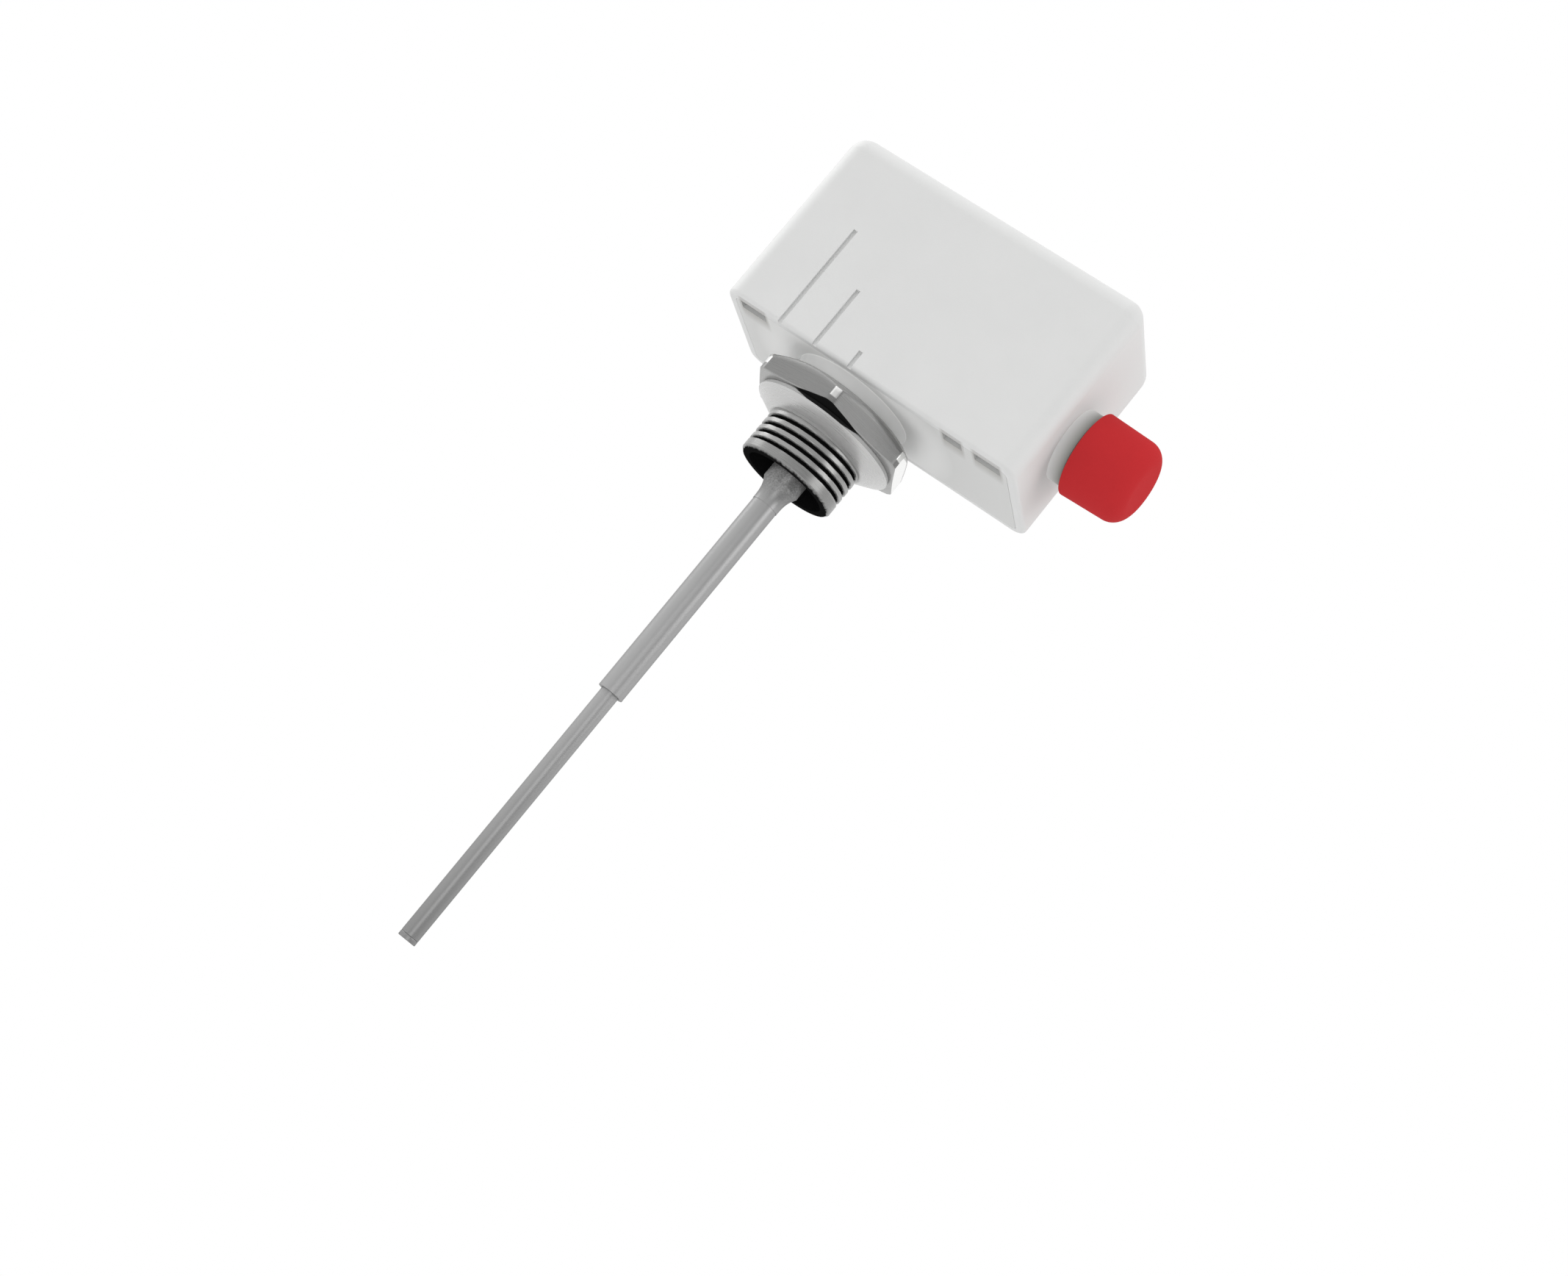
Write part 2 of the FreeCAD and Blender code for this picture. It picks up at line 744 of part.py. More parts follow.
def check_and_export():
    """Stop on any failed object or bad solid, then write one file for each piece."""
    doc.recompute()
    failed = [item.Name for item in doc.Objects if {"Invalid", "Error"} & set(item.State)]
    if failed:
        raise RuntimeError("objects that failed: " + ", ".join(failed))
    for item in pieces:
        if item.Shape.isNull() or not item.Shape.isValid() or not item.Shape.Solids:
            raise RuntimeError("bad shape: " + item.Label)
    os.makedirs("parts", exist_ok=True)
    for item in pieces:
        item.Shape.exportStep(os.path.join("parts", item.Label + ".step"))
        print(item.Label, len(item.Shape.Solids), round(item.Shape.Volume, 2))


fill_sheet()
make_fitting()
make_clamping()
make_stem()
make_leads()
make_hood()
make_base_plate()
make_board()
make_board_screws()
make_terminals()
make_entry()
make_cap()
check_and_export()
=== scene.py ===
import json
import math

import bmesh
import bpy
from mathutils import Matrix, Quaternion, Vector


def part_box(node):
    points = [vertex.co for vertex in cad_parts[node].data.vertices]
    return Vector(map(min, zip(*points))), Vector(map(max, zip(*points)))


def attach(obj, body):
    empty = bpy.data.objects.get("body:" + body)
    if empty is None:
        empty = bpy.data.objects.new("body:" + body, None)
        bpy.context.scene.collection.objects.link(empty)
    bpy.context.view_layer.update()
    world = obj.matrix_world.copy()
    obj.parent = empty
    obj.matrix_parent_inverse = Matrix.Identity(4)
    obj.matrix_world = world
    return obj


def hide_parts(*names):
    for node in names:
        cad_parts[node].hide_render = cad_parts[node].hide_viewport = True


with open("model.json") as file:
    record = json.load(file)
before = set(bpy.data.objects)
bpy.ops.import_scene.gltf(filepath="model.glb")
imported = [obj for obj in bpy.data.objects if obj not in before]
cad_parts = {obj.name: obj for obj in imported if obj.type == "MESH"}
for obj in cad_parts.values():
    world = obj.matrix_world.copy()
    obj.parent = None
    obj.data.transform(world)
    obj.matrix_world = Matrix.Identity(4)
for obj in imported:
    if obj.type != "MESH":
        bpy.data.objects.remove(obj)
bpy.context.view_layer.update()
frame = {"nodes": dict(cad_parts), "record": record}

# The frame is in metres: z = 0 is the shoulder above the thread, the stem points down -Z, the grooved front
# of the hood faces -Y and the cable entry leaves the +X end wall.
MM = 0.001
FULL_TURN = 2 * math.pi

# Turned fitting
THREAD_RADIUS = 10.4775 * MM
THREAD_PITCH = 1.814 * MM
THREAD_DEPTH = 1.05 * MM
THREAD_CHAMFER = 0.5 * MM
THREAD_TOP = -0.05 * MM
THREAD_END_BAND = 2.0 * MM
HEX_HALF_WIDTH = 16.0 * MM
HEX_CORNER_CUT = 0.4 * MM
HEX_CORNER = 2 * HEX_HALF_WIDTH / math.sqrt(3) - HEX_CORNER_CUT
HEX_SIDE_TURN = FULL_TURN / 6
HEX_TURN = math.radians(42)
HEX_LEVEL = 3.1 * MM
HEX_TOP = 8.4 * MM
HEX_TOP_FACE = 15.3 * MM
HEX_TOP_CHAMFER = 1.6 * MM
HEX_SEAT_FACE = 15.7 * MM
HEX_SEAT_CHAMFER = 0.3 * MM
HEX_FACE_ROWS = 4
COLLAR_RADIUS = 11.0 * MM
COLLAR_RIM_RADIUS = 15.4 * MM
COLLAR_RIM = 2.3 * MM
SEAL_BORE_RADIUS = 13.2 * MM
SPIGOT_RADIUS = 8.0 * MM
SPIGOT_PITCH = 1.5 * MM
SPIGOT_DEPTH = 0.5 * MM
BORE_RADIUS = 2.75 * MM
COUNTERBORE_RADIUS = 8.5 * MM
COUNTERBORE_DEPTH = 8.0 * MM
FITTING_COLUMNS = 360

# Ferrule of the stem
FERRULE_NECK_RADIUS = 2.78 * MM
FERRULE_CONE = 4.8 * MM
FERRULE_FLARE = 2.9
FERRULE_ROWS = 24
FERRULE_COLUMNS = 96

# Cable entry
ENTRY_THREAD_RADIUS = 6.0 * MM
ENTRY_FLANGE = 3.2 * MM
ENTRY_SEAL_LAND = 0.75 * MM
ENTRY_STUB_RADIUS = 7.3 * MM
ENTRY_BORE_RADIUS = 3.8 * MM
ENTRY_PITCH = 1.5 * MM
ENTRY_DEPTH = 0.6 * MM
ENTRY_LEAD_IN = 0.8 * MM
GROMMET_POCKET_RADIUS = 5.05 * MM
GROMMET_LENGTH = 7.0 * MM
ENTRY_COLUMNS = 144

# Every thread: shares of its pitch that are flat crest and one flank, its fading ends and its mesh rows
CREST_SHARE = 0.46
FLANK_SHARE = 0.17
THREAD_FADE = 0.35 * MM
THREAD_ROW = 0.1 * MM

# Edges of turned pieces, and edge rounding of the CAD nodes
TURNED_EDGE = 0.15 * MM
EDGE_ANGLE = math.radians(35)
EDGE_SEGMENTS = 3
WELD_GAP = 0.005 * MM
FLAT_ANGLE = math.radians(0.5)
SMALL_EDGE = 0.12 * MM
SHELL_EDGE = 0.05 * MM
PLAIN_NODES = ("sensor_leads", "sensing_element", "lead_insulator", "terminal_pins")
SHELL_NODES = ("hood", "base_plate")


# Meshes turned about an axis

def plain(radius, height):
    """A row that is the same all round."""
    return lambda turn: (radius, height)


def groove_depth(turn, height, pitch, depth):
    """How far a right-handed thread's groove goes in at one place, with eased flanks."""
    phase = (height / pitch - turn / FULL_TURN) % 1.0
    inside = (1 - CREST_SHARE) / 2 - abs(phase - 0.5)
    share = min(max(inside / FLANK_SHARE, 0.0), 1.0)
    return depth * share * share * (3 - 2 * share)


def thread_rows(radius, low, high, pitch, depth):
    """Rows up a threaded length; the groove fades out at both its ends."""
    count = math.ceil((high - low) / THREAD_ROW)

    def row_at(height):
        fade = min(1.0, (height - low) / THREAD_FADE, (high - height) / THREAD_FADE)
        return lambda turn: (radius - fade * groove_depth(turn, height, pitch, depth), height)
    return [row_at(low + (high - low) * index / count) for index in range(count + 1)]


def about_stem(radius, turn, height):
    return Vector((radius * math.cos(turn), radius * math.sin(turn), height))


def about_entry(axis_height):
    """Places round the cable entry's axis, which runs along X at a height."""
    return lambda radius, turn, along: Vector((
        along, radius * math.cos(turn), axis_height + radius * math.sin(turn)))


def lathe(name, rows, columns, place):
    """A closed mesh of rows round an axis, whose last row meets the first."""
    points = []
    for row in rows:
        for column in range(columns):
            turn = FULL_TURN * column / columns
            radius, height = row(turn)
            points.append(place(radius, turn, height))
    faces = []
    for index in range(len(rows)):
        here = index * columns
        above = (index + 1) % len(rows) * columns
        for column in range(columns):
            beside = (column + 1) % columns
            faces.append((here + column, here + beside, above + beside, above + column))
    mesh = bpy.data.meshes.new(name)
    mesh.from_pydata(points, [], faces)
    shape = bmesh.new()
    shape.from_mesh(mesh)
    bmesh.ops.recalc_face_normals(shape, faces=shape.faces)
    shape.to_mesh(mesh)
    shape.free()
    mesh.shade_smooth()
    mesh.set_sharp_from_angle(angle=EDGE_ANGLE)
    piece = bpy.data.objects.new(name, mesh)
    bpy.context.scene.collection.objects.link(piece)
    return piece


def stand_for(piece, node, body, slot):
    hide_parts(node)
    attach(piece, body)
    piece.data.materials.append(materials[slot])


def hex_radius(turn):
    """The hexagon's own outline, with its corners turned off."""
    off_centre = (turn - HEX_TURN) % HEX_SIDE_TURN - HEX_SIDE_TURN / 2
    return min(HEX_HALF_WIDTH / math.cos(off_centre), HEX_CORNER)


def seat_level(radius):
    """Height of the lower chamfer at a radius."""
    return HEX_LEVEL + HEX_SEAT_CHAMFER * max(0.0, radius - HEX_SEAT_FACE) / (HEX_CORNER - HEX_SEAT_FACE)


def top_level(radius):
    """Height of the upper chamfer at a radius."""
    return HEX_TOP - HEX_TOP_CHAMFER * max(0.0, radius - HEX_TOP_FACE) / (HEX_CORNER - HEX_TOP_FACE)


def hexagon_rows():
    """Rows up the hexagon's sides, between its two chamfers."""
    def lip_row(level):
        def row(turn):
            radius = hex_radius(turn) - TURNED_EDGE
            return radius, level(radius)
        return row

    def side_row(share):
        def row(turn):
            radius = hex_radius(turn)
            low = seat_level(radius) + TURNED_EDGE
            high = top_level(radius) - TURNED_EDGE
            return radius, low + (high - low) * share
        return row
    sides = [side_row(index / HEX_FACE_ROWS) for index in range(HEX_FACE_ROWS + 1)]
    return [lip_row(seat_level)] + sides + [lip_row(top_level)]


def make_fitting():
    low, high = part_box("threaded_fitting")
    end = low[2]
    top = high[2]
    hollow_top = end + COUNTERBORE_DEPTH
    nut_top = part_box("lock_nut")[1][2]
    rows = [plain(THREAD_RADIUS - THREAD_CHAMFER, end), plain(THREAD_RADIUS, end + THREAD_CHAMFER)]
    rows += thread_rows(THREAD_RADIUS, end + THREAD_END_BAND, THREAD_TOP, THREAD_PITCH, THREAD_DEPTH)
    rows += [
        plain(THREAD_RADIUS, 0.0),
        plain(COLLAR_RADIUS, 0.0),
        plain(COLLAR_RIM_RADIUS, COLLAR_RIM),
        plain(SEAL_BORE_RADIUS, COLLAR_RIM),
        plain(SEAL_BORE_RADIUS, HEX_LEVEL),
        plain(HEX_SEAT_FACE, HEX_LEVEL),
    ]
    rows += hexagon_rows()
    rows += [plain(HEX_TOP_FACE, HEX_TOP), plain(SPIGOT_RADIUS, HEX_TOP)]
    rows += thread_rows(SPIGOT_RADIUS, nut_top - SPIGOT_PITCH, top, SPIGOT_PITCH, SPIGOT_DEPTH)
    rows += [
        plain(BORE_RADIUS, top),
        plain(BORE_RADIUS, hollow_top),
        plain(COUNTERBORE_RADIUS, hollow_top),
        plain(COUNTERBORE_RADIUS, end),
    ]
    piece = lathe("turned_fitting", rows, FITTING_COLUMNS, about_stem)
    stand_for(piece, "threaded_fitting", "base", "fitting_steel")


def make_ferrule():
    low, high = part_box("stem_ferrule")
    foot = low[2]
    widest = high[0]
    rows = [plain(BORE_RADIUS, high[2]), plain(BORE_RADIUS, foot)]
    for index in range(FERRULE_ROWS + 1):
        share = index / FERRULE_ROWS
        radius = FERRULE_NECK_RADIUS + (widest - FERRULE_NECK_RADIUS) * share ** FERRULE_FLARE
        rows.append(plain(radius, foot + FERRULE_CONE * share))
    rows.append(plain(widest, high[2]))
    piece = lathe("bell_ferrule", rows, FERRULE_COLUMNS, about_stem)
    stand_for(piece, "stem_ferrule", "base", "stem_steel")


def make_entry_stub():
    low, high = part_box("entry_stub")
    inner_end = low[0]
    outer_end = high[0]
    flange_radius = high[1]
    pocket = outer_end - GROMMET_LENGTH
    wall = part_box("hood")[1][0]
    seal_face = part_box("entry_seal")[1][0]
    seal_pocket = flange_radius - ENTRY_SEAL_LAND
    flange_end = wall + ENTRY_FLANGE
    rows = [plain(ENTRY_BORE_RADIUS, inner_end)]
    rows += thread_rows(ENTRY_THREAD_RADIUS, inner_end, seal_face, ENTRY_PITCH, ENTRY_DEPTH)
    rows += [
        plain(seal_pocket, seal_face),
        plain(seal_pocket, wall),
        plain(flange_radius, wall),
        plain(flange_radius, flange_end - TURNED_EDGE),
        plain(flange_radius - TURNED_EDGE, flange_end),
    ]
    rows += thread_rows(ENTRY_STUB_RADIUS, flange_end, outer_end - ENTRY_LEAD_IN, ENTRY_PITCH, ENTRY_DEPTH)
    rows += [
        plain(ENTRY_STUB_RADIUS - ENTRY_DEPTH, outer_end),
        plain(GROMMET_POCKET_RADIUS, outer_end),
        plain(GROMMET_POCKET_RADIUS, pocket),
        plain(ENTRY_BORE_RADIUS, pocket),
    ]
    axis_height = (low[2] + high[2]) / 2
    piece = lathe("threaded_stub", rows, ENTRY_COLUMNS, about_entry(axis_height))
    stand_for(piece, "entry_stub", "cover", "entry_plastic")


# Nodes of a material

OPAQUE = (1.0,)

# Places of the colour sockets among all those of a mix node
MIX_COLOUR_INPUTS = (6, 7)
MIX_COLOUR_RESULT = 2

# Usual detail of noise, and the middle range that most of it lies in
NOISE_DETAIL = 3.0
NOISE_LOW = 0.3
NOISE_HIGH = 0.7
EVEN = (1, 1, 1)


def feed(tree, socket, term):
    """Give an input a plain value or another node's output."""
    if isinstance(term, bpy.types.NodeSocket):
        tree.links.new(term, socket)
    else:
        socket.default_value = term


def add_node(tree, kind, settings=None, inputs=None):
    """A node with its settings, and its inputs by name or by place."""
    node = tree.nodes.new(kind)
    for name, setting in (settings or {}).items():
        setattr(node, name, setting)
    for name, term in (inputs or {}).items():
        feed(tree, node.inputs[name], term)
    return node


def new_material(slot, roughness, metallic=0.0):
    """A material with its shader's plain values, and the object's own coordinates in metres."""
    material = bpy.data.materials.new(slot)
    material.use_nodes = True
    tree = material.node_tree
    shader = tree.nodes["Principled BSDF"]
    feed(tree, shader.inputs["Roughness"], roughness)
    feed(tree, shader.inputs["Metallic"], metallic)
    place = add_node(tree, "ShaderNodeTexCoord").outputs["Object"]
    return material, tree, shader, place


def calculate(tree, operation, *terms):
    """The result of an operation on one or two terms, each a number or a socket."""
    node = add_node(tree, "ShaderNodeMath", {"operation": operation}, dict(enumerate(terms)))
    return node.outputs["Value"]


def calculate_vector(tree, operation, result, *terms):
    """The Value or Vector that results from an operation on one or two vectors."""
    node = add_node(tree, "ShaderNodeVectorMath", {"operation": operation}, dict(enumerate(terms)))
    return node.outputs[result]


def product(tree, first, second):
    return calculate(tree, "MULTIPLY", first, second)


def either(tree, first, second):
    """The larger of two masks."""
    return calculate(tree, "MAXIMUM", first, second)


def nearest_of(tree, distances):
    nearest = distances[0]
    for distance in distances[1:]:
        nearest = calculate(tree, "MINIMUM", nearest, distance)
    return nearest


def spread(tree, number, low, high, start=NOISE_LOW, stop=NOISE_HIGH):
    """Takes a number's range from start to stop to the range from low to high."""
    node = add_node(tree, "ShaderNodeMapRange", inputs={
        "Value": number, "From Min": start, "From Max": stop, "To Min": low, "To Max": high})
    return node.outputs["Result"]


def rising(tree, number, start, stop):
    """A mask that goes from 0 to 1 as a number goes from start to stop."""
    return spread(tree, number, 0.0, 1.0, start, stop)


def falling(tree, number, start, stop):
    """A mask that goes from 1 to 0 as a number goes from start to stop."""
    return spread(tree, number, 1.0, 0.0, start, stop)


def by_mask(tree, mask, without, within):
    """One number where a mask is 0 and another where it is 1."""
    return spread(tree, mask, without, within, 0.0, 1.0)


def under_limit(tree, height, limit, blend):
    """A mask of the heights below a limit that changes from place to place."""
    return rising(tree, calculate(tree, "SUBTRACT", limit, height), 0.0, blend)


def noise(tree, place, size, stretch=EVEN, detail=NOISE_DETAIL):
    """Noise whose patches are about one size across, drawn out along an axis by a stretch."""
    scale = tuple(1 / (size * share) for share in stretch)
    mapped = add_node(tree, "ShaderNodeMapping", inputs={"Scale": scale, "Vector": place})
    texture = add_node(tree, "ShaderNodeTexNoise", inputs={
        "Scale": 1.0, "Detail": detail, "Vector": mapped.outputs["Vector"]})
    return texture.outputs["Fac"]


def shade(colour, share):
    return tuple(channel * share for channel in colour)


def blend_colours(tree, factor, first, second):
    """A mix of two colours, each a triple or a socket."""
    node = add_node(tree, "ShaderNodeMix", {"data_type": "RGBA"}, {"Factor": factor})
    for index, colour in zip(MIX_COLOUR_INPUTS, (first, second)):
        feed(tree, node.inputs[index], colour + OPAQUE if isinstance(colour, tuple) else colour)
    return node.outputs[MIX_COLOUR_RESULT]


def add_bump(tree, shader, height, strength, distance):
    bump = add_node(tree, "ShaderNodeBump", inputs={
        "Strength": strength, "Distance": distance, "Height": height})
    feed(tree, shader.inputs["Normal"], bump.outputs["Normal"])


def split(tree, vector):
    """A vector's X, Y and Z."""
    return add_node(tree, "ShaderNodeSeparateXYZ", inputs={"Vector": vector}).outputs


def surface_normal(tree):
    return add_node(tree, "ShaderNodeNewGeometry").outputs["Normal"]


def steepness(tree):
    """How far a surface leans from upright: 0 on a wall, 1 on a floor."""
    return calculate(tree, "ABSOLUTE", split(tree, surface_normal(tree))["Z"])


def level_place(tree, place):
    """A place brought to height zero."""
    parts = split(tree, place)
    return add_node(tree, "ShaderNodeCombineXYZ", inputs={"X": parts["X"], "Y": parts["Y"]}).outputs["Vector"]


def about_axis(tree, place):
    """A place's distance from the stem's axis, and its height."""
    radius = calculate_vector(tree, "LENGTH", "Value", level_place(tree, place))
    return radius, split(tree, place)["Z"]


def off_middle(tree, number, middle):
    """How far a number lies from a middle value, either way."""
    return calculate(tree, "ABSOLUTE", calculate(tree, "SUBTRACT", number, middle))


def along_turn(tree, vector, turn):
    """How far a vector reaches along a level line at a turn about the stem's axis, either way."""
    line = (math.cos(turn), math.sin(turn), 0.0)
    return calculate(tree, "ABSOLUTE", calculate_vector(tree, "DOT_PRODUCT", "Value", vector, line))


# Moulded plastic and rubber

# Plain look of every moulding
PLAIN_SPECULAR = 0.5
CLOUD_SIZE = 9.0 * MM
GRAIN_DETAIL = 2.0
GRAIN_RISE = 0.25
SPECK_SHADE = 0.5
MOULDED_POLISH = 0.06

# Neck of the base plate, and the underside round it, both painted lighter against the hexagon's shade
NECK_RADIUS = 16.0 * MM
NECK_BLEND = 8.0 * MM
NECK_LIT_COLOUR = (0.78, 0.783, 0.776)
UNDERSIDE_LIT_COLOUR = (0.9, 0.903, 0.895)

# Release slots and the painted shade round them
SLOT_DEPTH = 2.6 * MM
SLOT_INSET = 1.5 * MM
SLOT_LENGTH = 5.8 * MM
SMALL_SLOT = 4.2 * MM
SLOT_SPACING = 3.0 * MM
SLOT_REACH = 4.0 * MM
SLOT_FADE = 0.8 * MM
SLOT_SHADE = 0.5
SLOT_SHADE_COLOUR = (0.2, 0.185, 0.16)

# Flange of the cable entry: pale at the end wall, from where painted shade darkens it towards the cap
FLANGE_COLOUR = (0.74, 0.743, 0.737)

# Turn of the hexagon's corner under which black shade is painted, like the one opposite, and the edge of that
# painted shade
DARK_CORNER = HEX_TURN + HEX_SIDE_TURN
DARK_BLEND = 0.08 * MM

# Rubber ring under the hexagon: turns from a dark corner within which its black painted shade is kept, and
# past which it is fully dusty
SEAL_BLACK = math.radians(8)
SEAL_DUSTY = math.radians(30)
SEAL_SURROUND = 20.0 * MM
SEAL_SURROUND_FADE = 1.0 * MM
SEAL_DUST_COLOUR = (0.55, 0.55, 0.545)


def moulded(slot, colour, roughness, grain=0.25 * MM, relief=0.12, tone=0.03, specular=PLAIN_SPECULAR,
            tint=None):
    """Moulded plastic or rubber: fine grain, faint clouding and a slightly uneven gloss."""
    material, tree, shader, place = new_material(slot, roughness)
    feed(tree, shader.inputs["Specular IOR Level"], specular)
    cloud = noise(tree, place, CLOUD_SIZE)
    fine = noise(tree, place, grain, detail=GRAIN_DETAIL)
    clouded = blend_colours(tree, cloud, shade(colour, 1 - tone), shade(colour, 1 + tone))
    speckled = blend_colours(tree, spread(tree, fine, 0.0, tone), clouded, shade(colour, SPECK_SHADE))
    tinted = tint(tree, place, speckled) if tint else speckled
    gloss = spread(tree, cloud, roughness - MOULDED_POLISH, roughness + MOULDED_POLISH)
    feed(tree, shader.inputs["Base Color"], tinted)
    feed(tree, shader.inputs["Roughness"], gloss)
    add_bump(tree, shader, fine, relief, grain * GRAIN_RISE)
    return material


def slot_shade_tint(tree, place, colour):
    """Painted shade, a brownish dark, round the release slots in the underside."""
    parts = split(tree, place)
    low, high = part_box("base_plate")
    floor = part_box("hood")[0][2]
    under = falling(tree, parts["Z"], floor + SHELL_EDGE, floor + 2 * SHELL_EDGE)
    off_row = off_middle(tree, parts["Y"], low[1] + SLOT_DEPTH / 2)
    beside = spread(tree, off_row, SLOT_SHADE, 0.0, SLOT_DEPTH / 2, SLOT_DEPTH / 2 + SLOT_REACH)
    left = low[0] + SLOT_INSET
    right = high[0] - SLOT_INSET
    small = right - SLOT_LENGTH - SLOT_SPACING
    slots = ((left, left + SLOT_LENGTH), (right - SLOT_LENGTH, right), (small - SMALL_SLOT, small))
    for start, stop in slots:
        after = rising(tree, parts["X"], start - SLOT_FADE, start)
        before = falling(tree, parts["X"], stop, stop + SLOT_FADE)
        # Painted shade round each slot, brownish and strongest beside the slot's row
        shade_mix = product(tree, product(tree, beside, under), product(tree, after, before))
        colour = blend_colours(tree, shade_mix, colour, SLOT_SHADE_COLOUR)
    return colour


def neck_light_tint(tree, place, colour):
    """Painted light: the base plate's underside is painted whiter round its neck, and the neck itself a
    little less so, against the shade that the hexagon casts on them.
    """
    radius, height = about_axis(tree, place)
    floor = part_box("hood")[0][2]
    near = falling(tree, radius, NECK_RADIUS, NECK_RADIUS + NECK_BLEND)
    under = falling(tree, height, floor + SMALL_EDGE, floor + 2 * SMALL_EDGE)
    above_neck = rising(tree, height, floor - 2 * SMALL_EDGE, floor - SMALL_EDGE)
    # Painted light: the neck and the underside round it take whiter colours against the hexagon's shade
    lit_colour = blend_colours(tree, above_neck, NECK_LIT_COLOUR, UNDERSIDE_LIT_COLOUR)
    whitened = blend_colours(tree, product(tree, near, under), colour, lit_colour)
    return slot_shade_tint(tree, place, whitened)


def entry_shade_tint(tree, place, colour):
    """Painted shade: the entry's flange is pale at the end wall and darkens towards the cap."""
    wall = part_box("hood")[1][0]
    outward = rising(tree, split(tree, place)["X"], wall, wall + ENTRY_FLANGE)
    return blend_colours(tree, outward, FLANGE_COLOUR, colour)


def seal_tint(tree, place, colour):
    """Dust greys the ring under the hexagon, but below the hexagon's two dark corners its black stays as
    painted shade.
    """
    radius, height = about_axis(tree, place)
    low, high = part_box("thread_seal")
    dusty = high[0] * math.cos(SEAL_DUSTY)
    black = high[0] * math.cos(SEAL_BLACK)
    reach = along_turn(tree, place, DARK_CORNER)
    limit = spread(tree, reach, high[2] + DARK_BLEND, low[2] - DARK_BLEND, dusty, black)
    near = falling(tree, radius, SEAL_SURROUND, SEAL_SURROUND + SEAL_SURROUND_FADE)
    shade_mix = product(tree, near, under_limit(tree, height, limit, DARK_BLEND))
    return blend_colours(tree, shade_mix, colour, SEAL_DUST_COLOUR)


# Worked metal

# Plain look of every metal
ALONG_STEM = (1, 1, 60)
ROUND_STEM = (60, 60, 1)
STREAK_SIZE = 0.12 * MM
STREAK_DETAIL = 4.0
STREAK_HEIGHT = 0.02 * MM
MOTTLE_SIZE = 4.0 * MM
MOTTLE_SHADE = 0.7
MATT_STEEL = 0.55

# Turned faces and the hexagon's skin; the cone's pale colour is painted light
BAND_COLOUR = (0.27, 0.27, 0.266)
CONE_LIT_COLOUR = (0.58, 0.58, 0.575)
SKIN_COLOUR = (0.22, 0.22, 0.217)
TINT_EDGE = 0.1 * MM
FINE_EDGE = 0.02 * MM
WALL_LEAN = (0.3, 0.6)
FLOOR_LEAN = (0.7, 0.9)

# Painted highlights, with a lower roughness: a tick up each corner and two opposite flats
HIGHLIGHT_COLOUR = (0.86, 0.86, 0.85)
HIGHLIGHT_GLOSS = 0.5
TICK_BAND = 0.08 * MM
TICK_START = 4.7 * MM
TICK_FADE = 0.2 * MM
BRIGHT_FLAT_TURN = HEX_TURN - HEX_SIDE_TURN / 2
BRIGHT_FLAT_FACING = (0.96, 0.98)

# Black painted shade in the thread's grooves, the hollow end and at the dark corners
SHADE_BLACK_COLOUR = (0.008, 0.008, 0.008)
RAGGED_SIZE = 0.6 * MM
RAGGED_REACH = 0.12 * MM
GROOVE_BLACK = 0.5 * MM
GROOVE_SHADE_END = 0.15 * MM
GROOVE_TOP = 0.5 * MM
GROOVE_TOP_FADE = 0.2 * MM
DARK_RISE = 0.4 * MM
DARK_START = 12.5 * MM
DARK_TAPER = 14.0 * MM

# Stem
BELL_COLOUR = (0.16, 0.16, 0.158)
SPECKLE_SIZE = 0.3 * MM
SPECKLE_LEAST = 0.35
TIP_SHARE = 0.5
STEM_SPECULAR = 0.1
STEM_RIM_COLOUR = (0.4, 0.4, 0.4)


def worked_metal(slot, colour, roughness, streak=EVEN, tone=0.12, relief=0.1, polish=0.06, metallic=1.0,
                 finish=None):
    """Drawn or turned metal: fine streaks along the tool's path over a soft mottle."""
    material, tree, shader, place = new_material(slot, roughness, metallic)
    lines = noise(tree, place, STREAK_SIZE, streak, STREAK_DETAIL)
    mottle = spread(tree, noise(tree, place, MOTTLE_SIZE), 0.0, 2 * tone)
    lined = blend_colours(tree, lines, shade(colour, 1 - tone), shade(colour, 1 + tone))
    mottled = blend_colours(tree, mottle, lined, shade(colour, MOTTLE_SHADE))
    feed(tree, shader.inputs["Roughness"], spread(tree, lines, roughness - polish, roughness + polish))
    add_bump(tree, shader, lines, relief, STREAK_HEIGHT)
    finished = finish(tree, shader, place, mottled) if finish else mottled
    feed(tree, shader.inputs["Base Color"], finished)
    return material


def turned_faces(tree, radius, height, turned):
    """The plain band at the thread's end is the darkest turned face; the collar's cone is painted palest, as
    painted light where its reflection falls dark.
    """
    band_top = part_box("threaded_fitting")[0][2] + THREAD_END_BAND
    band = falling(tree, height, band_top, band_top + THREAD_FADE)
    banded = blend_colours(tree, band, turned, BAND_COLOUR)
    past_thread = rising(tree, radius, THREAD_RADIUS + TINT_EDGE, COLLAR_RADIUS)
    under_rim = falling(tree, height, COLLAR_RIM + FINE_EDGE, COLLAR_RIM + TINT_EDGE)
    # The cone's pale colour is painted light
    return blend_colours(tree, product(tree, past_thread, under_rim), banded, CONE_LIT_COLOUR)


def painted_highlights(tree, radius, height):
    """Painted highlights on the hexagon: the upper part of each corner, and two opposite flats."""
    corner = rising(tree, radius, HEX_CORNER - TICK_BAND, HEX_CORNER - FINE_EDGE)
    tick = product(tree, corner, rising(tree, height, TICK_START, TICK_START + TICK_FADE))
    facing = along_turn(tree, surface_normal(tree), BRIGHT_FLAT_TURN)
    return either(tree, tick, rising(tree, facing, *BRIGHT_FLAT_FACING))


